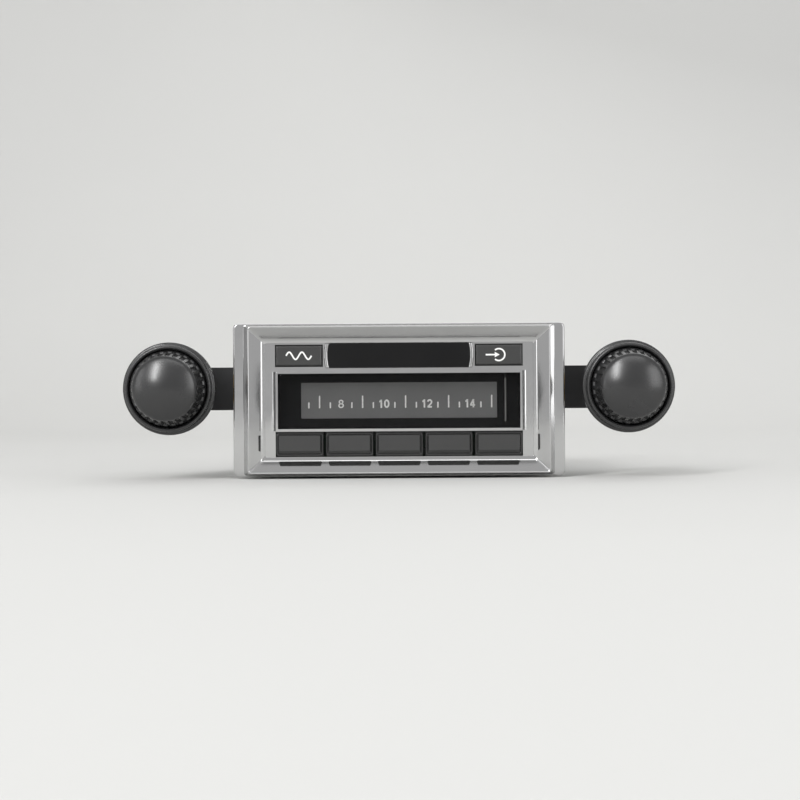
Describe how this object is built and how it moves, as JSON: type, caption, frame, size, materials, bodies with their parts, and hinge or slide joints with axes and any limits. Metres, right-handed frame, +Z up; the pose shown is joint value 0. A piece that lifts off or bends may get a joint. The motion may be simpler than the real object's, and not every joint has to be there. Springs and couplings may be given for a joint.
{
  "type": "truck radio",
  "caption": "Shaft-mount truck radio with a chromed shadow-box bezel, slide-rule dial with moving pointer, push buttons and concentric knob-and-ring controls.",
  "frame": {"origin": "centre of the underside of the case tray", "axes": "+X to the right as seen from the front, +Y from the face to the rear panel, +Z up"},
  "size_m": [0.1755, 0.1516, 0.05],
  "materials": {
    "chromed_plastic": "bright chrome plate on moulded plastic",
    "plated_steel": "zinc plated sheet",
    "black_steel": "black coated sheet",
    "screw_steel": "dark zinc plate",
    "bright_steel": "ground steel",
    "nickel_plate": "nickel plate",
    "bushing_brass": "turned brass",
    "black_moulding": "matt moulded plastic",
    "knob_black": "satin gloss moulded plastic",
    "plate_black": "gloss black",
    "button_grey": "fine satin moulded plastic",
    "scale_grey": "printed film",
    "pointer_white": "painted line",
    "clear_acrylic": "clear polished acrylic",
    "frosted_acrylic": "frosted light guide",
    "pulley_white": "natural acetal",
    "belt_rubber": "matt rubber",
    "board_green": "green solder mask",
    "lamp_ivory": "lamp body",
    "chip_black": "moulded epoxy",
    "capacitor_blue": "shrink sleeve",
    "sink_aluminium": "dark anodised"
  },
  "bodies": {
    "radio": {"chassis_tray": "plated_steel", "top_cover": "plated_steel", "cover_screws": "screw_steel", "front_plate": "black_steel", "front_screws": "screw_steel", "nose_frame": "black_moulding", "bezel": "chromed_plastic", "face_plate": "chromed_plastic", "name_plate": "plate_black", "dial_lens": "clear_acrylic", "dial_plate": "black_moulding", "dial_scale": "scale_grey", "light_guide": "frosted_acrylic", "control_board": "board_green", "key_switches": "black_moulding", "dial_lamps": "lamp_ivory", "link_socket": "black_moulding", "pointer_rail": "bright_steel", "pointer_belt": "belt_rubber", "idler_pin": "bright_steel", "volume_bushing": "bushing_brass", "tuning_bushing": "bushing_brass", "bushing_nuts": "nickel_plate", "bushing_washers": "nickel_plate", "volume_control": "nickel_plate", "fader_control": "nickel_plate", "tuning_control": "nickel_plate", "tuning_posts": "bright_steel", "main_board": "board_green", "board_posts": "bright_steel", "board_screws": "screw_steel", "tuner_can": "nickel_plate", "amplifier_chip": "chip_black", "capacitors": "capacitor_blue", "heat_sink": "sink_aluminium", "heat_sink_screws": "screw_steel", "antenna_socket": "nickel_plate", "phono_sockets": "nickel_plate", "harness_socket": "black_moulding", "harness_pins": "bushing_brass", "rear_stud": "bright_steel"},
    "volume": {"volume_shaft": "bright_steel", "volume_knob": "knob_black"},
    "tone": {"tone_sleeve": "bright_steel", "tone_ring": "knob_black"},
    "tuning": {"tuning_shaft": "bright_steel", "tuning_knob": "knob_black", "drive_drum": "pulley_white"},
    "fader": {"fader_sleeve": "bright_steel", "fader_ring": "knob_black"},
    "idler": {"idler_pulley": "pulley_white"},
    "pointer": {"pointer_carriage": "black_moulding", "pointer_needle": "pointer_white"},
    "preset_1": {"preset_button_1": "button_grey"},
    "preset_2": {"preset_button_2": "button_grey"},
    "preset_3": {"preset_button_3": "button_grey"},
    "preset_4": {"preset_button_4": "button_grey"},
    "preset_5": {"preset_button_5": "button_grey"},
    "band": {"band_button": "button_grey"},
    "line": {"line_button": "button_grey"}
  },
  "joints": [
    {"name": "volume_turn", "type": "hinge", "parent": "radio", "child": "volume", "pos_m": [-0.073, -0.066, 0.0289], "axis": [0, 1, 0], "range_deg": [0, 300]},
    {"name": "tone_turn", "type": "hinge", "parent": "radio", "child": "tone", "pos_m": [-0.073, -0.066, 0.0289], "axis": [0, 1, 0], "range_deg": [-140, 140]},
    {"name": "tuning_turn", "type": "hinge", "parent": "radio", "child": "tuning", "pos_m": [0.073, -0.066, 0.0289], "axis": [0, 1, 0], "range_deg": [-733, 0]},
    {"name": "fader_turn", "type": "hinge", "parent": "radio", "child": "fader", "pos_m": [0.073, -0.066, 0.0289], "axis": [0, 1, 0], "range_deg": [-140, 140]},
    {"name": "idler_turn", "type": "hinge", "parent": "radio", "child": "idler", "pos_m": [-0.042, -0.0415, 0.0289], "axis": [0, 1, 0], "range_deg": [-734, 0]},
    {"name": "pointer_slide", "type": "slide", "parent": "radio", "child": "pointer", "axis": [1, 0, 0], "range_m": [-0.064, 0]},
    {"name": "preset_1_press", "type": "slide", "parent": "radio", "child": "preset_1", "axis": [0, 1, 0], "range_m": [0, 0.002], "stiffness_N_per_m": 200, "springref_m": -0.001},
    {"name": "preset_2_press", "type": "slide", "parent": "radio", "child": "preset_2", "axis": [0, 1, 0], "range_m": [0, 0.002], "stiffness_N_per_m": 200, "springref_m": -0.001},
    {"name": "preset_3_press", "type": "slide", "parent": "radio", "child": "preset_3", "axis": [0, 1, 0], "range_m": [0, 0.002], "stiffness_N_per_m": 200, "springref_m": -0.001},
    {"name": "preset_4_press", "type": "slide", "parent": "radio", "child": "preset_4", "axis": [0, 1, 0], "range_m": [0, 0.002], "stiffness_N_per_m": 200, "springref_m": -0.001},
    {"name": "preset_5_press", "type": "slide", "parent": "radio", "child": "preset_5", "axis": [0, 1, 0], "range_m": [0, 0.002], "stiffness_N_per_m": 200, "springref_m": -0.001},
    {"name": "band_press", "type": "slide", "parent": "radio", "child": "band", "axis": [0, 1, 0], "range_m": [0, 0.0008], "stiffness_N_per_m": 200, "springref_m": -0.001},
    {"name": "line_press", "type": "slide", "parent": "radio", "child": "line", "axis": [0, 1, 0], "range_m": [0, 0.0008], "stiffness_N_per_m": 200, "springref_m": -0.001}
  ],
  "couplings": [
    {"joint": "idler_turn", "follows": "tuning_turn", "ratio": 1},
    {"joint": "pointer_slide", "follows": "tuning_turn", "m_per_rad": 0.005}
  ]
}
